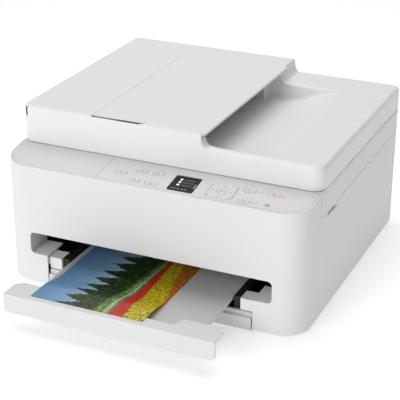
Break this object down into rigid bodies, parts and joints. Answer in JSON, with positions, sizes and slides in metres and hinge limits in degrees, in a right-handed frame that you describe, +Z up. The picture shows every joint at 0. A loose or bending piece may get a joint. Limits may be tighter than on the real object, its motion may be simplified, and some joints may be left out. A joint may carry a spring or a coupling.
{
  "type": "inkjet printer",
  "caption": "Compact white all-in-one inkjet printer with sloping control deck, flatbed scanner, document feeder, paper cassette and extended output tray holding a print.",
  "frame": {"origin": "on the floor under the middle of the model's bounding box, with the output tray extended", "axes": "+X to the printer's right seen from the front, +Y towards its back, +Z up"},
  "size_m": [0.403, 0.4948, 0.2196],
  "materials": {
    "white_plastic": "fine-grained satin white",
    "key_plastic": "satin white",
    "grey_plastic": "satin light grey",
    "black_plastic": "matte black",
    "dark_plastic": "matte dark grey",
    "screen_black": "polished black window",
    "foot_rubber": "matte",
    "roller_rubber": "matte",
    "belt_rubber": "matte",
    "steel": "zinc plated",
    "circuit_board": "solder mask",
    "scanner_glass": "clear float glass",
    "pad_foam": "white foam with a film face",
    "photo_paper": "semi-gloss print"
  },
  "bodies": {
    "chassis": {"main_case": "white_plastic", "base_pan": "dark_plastic", "foot_front_left": "foot_rubber", "foot_rear_left": "foot_rubber", "foot_front_right": "foot_rubber", "foot_rear_right": "foot_rubber", "rear_panel": "white_plastic", "power_inlet": "black_plastic", "main_board": "circuit_board", "power_supply": "black_plastic", "deck_left_panel": "white_plastic", "control_panel": "white_plastic", "lcd_screen": "screen_black", "exit_bezel": "white_plastic", "inner_frame": "black_plastic", "platen": "black_plastic", "feed_motor": "steel", "feed_belt": "belt_rubber", "maintenance_station": "dark_plastic", "carriage_rail": "steel", "carriage_motor": "steel", "carriage_belt": "belt_rubber"},
    "key_setup_body": {"key_setup": "key_plastic"},
    "key_copy_body": {"key_copy": "key_plastic"},
    "key_scan_body": {"key_scan": "key_plastic"},
    "key_fax_body": {"key_fax": "key_plastic"},
    "key_print_body": {"key_print": "key_plastic"},
    "key_home_body": {"key_home": "key_plastic"},
    "key_stop_body": {"key_stop": "key_plastic"},
    "key_start_body": {"key_start": "key_plastic"},
    "key_navigation_body": {"key_navigation": "key_plastic"},
    "key_ok_body": {"key_ok": "key_plastic"},
    "feed_roller_body": {"feed_roller": "steel"},
    "exit_roller_body": {"exit_roller": "roller_rubber"},
    "feed_motor_pulley_body": {"feed_motor_pulley": "steel"},
    "pickup_roller_body": {"pickup_roller": "roller_rubber"},
    "carriage_body": {"carriage": "black_plastic", "ink_cartridge_colour": "dark_plastic", "ink_cartridge_black": "dark_plastic"},
    "carriage_motor_pulley_body": {"carriage_motor_pulley": "steel"},
    "carriage_idler_pulley_body": {"carriage_idler_pulley": "steel"},
    "cassette": {"cassette_box": "black_plastic", "cassette_front": "white_plastic"},
    "paper_guide_left_body": {"paper_guide_left": "grey_plastic"},
    "paper_guide_right_body": {"paper_guide_right": "grey_plastic"},
    "output_tray": {"tray_lip": "white_plastic", "tray_plate": "grey_plastic", "printed_sheet": "photo_paper"},
    "scanner_unit": {"scanner_tub": "white_plastic", "scanner_bezel": "white_plastic", "platen_glass": "scanner_glass", "scan_guide_rod": "steel"},
    "scan_head": {"scan_bar": "black_plastic"},
    "document_cover": {"lid_shell": "white_plastic", "lid_base": "white_plastic", "pressure_pad": "pad_foam"},
    "feeder_cover": {"adf_cover": "white_plastic"},
    "document_flap": {"document_tray": "white_plastic"},
    "feeder_pick_roller": {"adf_pick_roller": "roller_rubber"},
    "feeder_feed_roller": {"adf_feed_roller": "roller_rubber"}
  },
  "joints": [
    {"name": "scanner_lift", "type": "hinge", "parent": "chassis", "child": "scanner_unit", "pos_m": [0, 0.24345, 0.1388], "axis": [-1, 0, 0], "range_deg": [0, 42]},
    {"name": "cover_lift", "type": "hinge", "parent": "scanner_unit", "child": "document_cover", "pos_m": [0, 0.24345, 0.1715], "axis": [-1, 0, 0], "range_deg": [0, 75]},
    {"name": "feeder_cover_hinge", "type": "hinge", "parent": "document_cover", "child": "feeder_cover", "pos_m": [-0.2003, 0, 0.207], "axis": [0, -1, 0], "range_deg": [0, 75]},
    {"name": "document_tray_hinge", "type": "hinge", "parent": "document_cover", "child": "document_flap", "pos_m": [0.049, 0, 0.217], "axis": [0, 1, 0], "range_deg": [0, 155]},
    {"name": "feeder_feed_spin", "type": "hinge", "parent": "document_cover", "child": "feeder_feed_roller", "pos_m": [-0.158, 0, 0.1996], "axis": [0, 1, 0], "continuous": true},
    {"name": "feeder_pick_spin", "type": "hinge", "parent": "document_cover", "child": "feeder_pick_roller", "pos_m": [-0.12, 0, 0.205], "axis": [0, 1, 0], "continuous": true},
    {"name": "scan_head_slide", "type": "slide", "parent": "scanner_unit", "child": "scan_head", "axis": [1, 0, 0], "range_m": [0, 0.304]},
    {"name": "cassette_slide", "type": "slide", "parent": "chassis", "child": "cassette", "axis": [0, -1, 0], "range_m": [0, 0.2]},
    {"name": "output_tray_slide", "type": "slide", "parent": "cassette", "child": "output_tray", "axis": [0, 1, 0], "range_m": [0, 0.1075]},
    {"name": "paper_guide_left_slide", "type": "slide", "parent": "cassette", "child": "paper_guide_left_body", "axis": [1, 0, 0], "range_m": [0, 0.052]},
    {"name": "paper_guide_right_slide", "type": "slide", "parent": "cassette", "child": "paper_guide_right_body", "axis": [-1, 0, 0], "range_m": [0, 0.052]},
    {"name": "carriage_slide", "type": "slide", "parent": "chassis", "child": "carriage_body", "axis": [-1, 0, 0], "range_m": [0, 0.228]},
    {"name": "carriage_motor_spin", "type": "hinge", "parent": "chassis", "child": "carriage_motor_pulley_body", "pos_m": [-0.15, 0, 0.1], "axis": [0, 1, 0], "continuous": true},
    {"name": "carriage_idler_spin", "type": "hinge", "parent": "chassis", "child": "carriage_idler_pulley_body", "pos_m": [0.15, 0, 0.1], "axis": [0, 1, 0], "continuous": true},
    {"name": "feed_roller_spin", "type": "hinge", "parent": "chassis", "child": "feed_roller_body", "pos_m": [0, 0.07175, 0.06], "axis": [1, 0, 0], "continuous": true},
    {"name": "exit_roller_spin", "type": "hinge", "parent": "chassis", "child": "exit_roller_body", "pos_m": [0, 0.00175, 0.06], "axis": [1, 0, 0], "continuous": true},
    {"name": "feed_motor_spin", "type": "hinge", "parent": "chassis", "child": "feed_motor_pulley_body", "pos_m": [0, 0.14975, 0.06], "axis": [1, 0, 0], "continuous": true},
    {"name": "pickup_roller_spin", "type": "hinge", "parent": "chassis", "child": "pickup_roller_body", "pos_m": [0, 0.12975, 0.031], "axis": [1, 0, 0], "continuous": true},
    {"name": "key_setup_press", "type": "slide", "parent": "chassis", "child": "key_setup_body", "axis": [0, 0.1615, -0.9869], "range_m": [0, 0.0005], "stiffness_N_per_m": 600},
    {"name": "key_copy_press", "type": "slide", "parent": "chassis", "child": "key_copy_body", "axis": [0, 0.1615, -0.9869], "range_m": [0, 0.0005], "stiffness_N_per_m": 600},
    {"name": "key_scan_press", "type": "slide", "parent": "chassis", "child": "key_scan_body", "axis": [0, 0.1615, -0.9869], "range_m": [0, 0.0005], "stiffness_N_per_m": 600},
    {"name": "key_fax_press", "type": "slide", "parent": "chassis", "child": "key_fax_body", "axis": [0, 0.1615, -0.9869], "range_m": [0, 0.0005], "stiffness_N_per_m": 600},
    {"name": "key_print_press", "type": "slide", "parent": "chassis", "child": "key_print_body", "axis": [0, 0.1615, -0.9869], "range_m": [0, 0.0005], "stiffness_N_per_m": 600},
    {"name": "key_home_press", "type": "slide", "parent": "chassis", "child": "key_home_body", "axis": [0, 0.1615, -0.9869], "range_m": [0, 0.0005], "stiffness_N_per_m": 600},
    {"name": "key_stop_press", "type": "slide", "parent": "chassis", "child": "key_stop_body", "axis": [0, 0.1615, -0.9869], "range_m": [0, 0.0005], "stiffness_N_per_m": 600},
    {"name": "key_start_press", "type": "slide", "parent": "chassis", "child": "key_start_body", "axis": [0, 0.1615, -0.9869], "range_m": [0, 0.0005], "stiffness_N_per_m": 600},
    {"name": "key_navigation_press", "type": "slide", "parent": "chassis", "child": "key_navigation_body", "axis": [0, 0.1615, -0.9869], "range_m": [0, 0.0005], "stiffness_N_per_m": 600},
    {"name": "key_ok_press", "type": "slide", "parent": "chassis", "child": "key_ok_body", "axis": [0, 0.1615, -0.9869], "range_m": [0, 0.0005], "stiffness_N_per_m": 600}
  ],
  "couplings": [
    {"joint": "paper_guide_right_slide", "follows": "paper_guide_left_slide", "ratio": 1},
    {"joint": "carriage_motor_spin", "follows": "carriage_slide", "rad_per_m": 142.86},
    {"joint": "carriage_idler_spin", "follows": "carriage_slide", "rad_per_m": 142.86},
    {"joint": "exit_roller_spin", "follows": "feed_roller_spin", "ratio": 1.2222},
    {"joint": "feed_motor_spin", "follows": "feed_roller_spin", "ratio": 1.5714},
    {"joint": "feeder_pick_spin", "follows": "feeder_feed_spin", "ratio": 1.3333}
  ]
}
